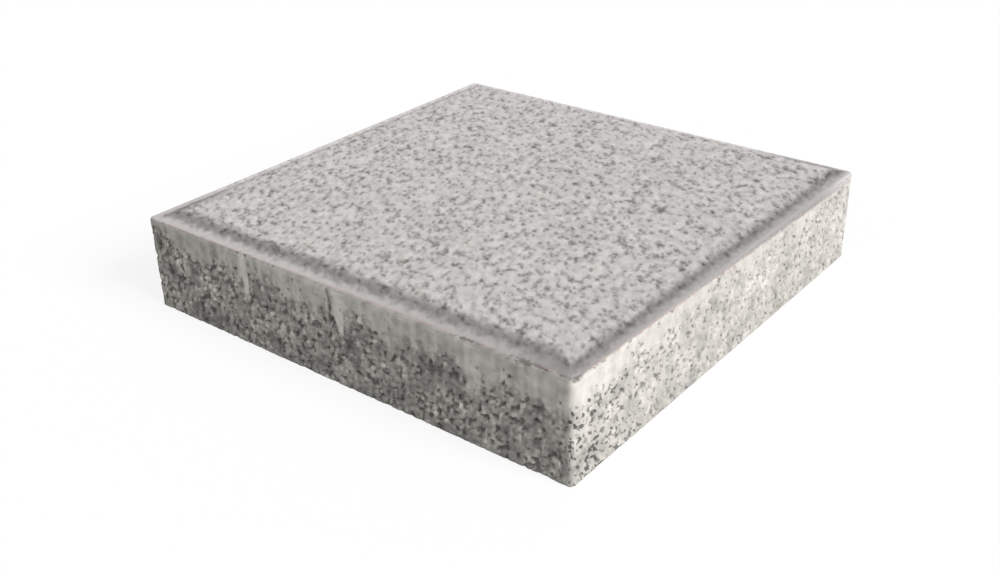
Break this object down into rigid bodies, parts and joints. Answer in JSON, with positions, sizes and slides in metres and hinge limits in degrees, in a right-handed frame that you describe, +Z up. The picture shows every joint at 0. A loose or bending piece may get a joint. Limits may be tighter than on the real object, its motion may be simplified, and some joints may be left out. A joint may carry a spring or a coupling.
{
  "type": "concrete paving slab",
  "caption": "Square pressed concrete paving slab with a raised, gently coved wearing face, a narrow flat lip round it and open-textured sides, laid flat on a bed.",
  "frame": {"origin": "centre of the bed face, the underside the slab lies on", "axes": "+Z up through the thickness, out of the wearing face; +X and +Y along the two sides of the square"},
  "size_m": [0.3, 0.3, 0.06],
  "materials": {
    "concrete": "raw pressed concrete: pitted pale grey wearing face, smoother darker paste on the coved rim, open granular sides"
  },
  "bodies": {
    "root": {"slab": "concrete"}
  },
  "joints": []
}
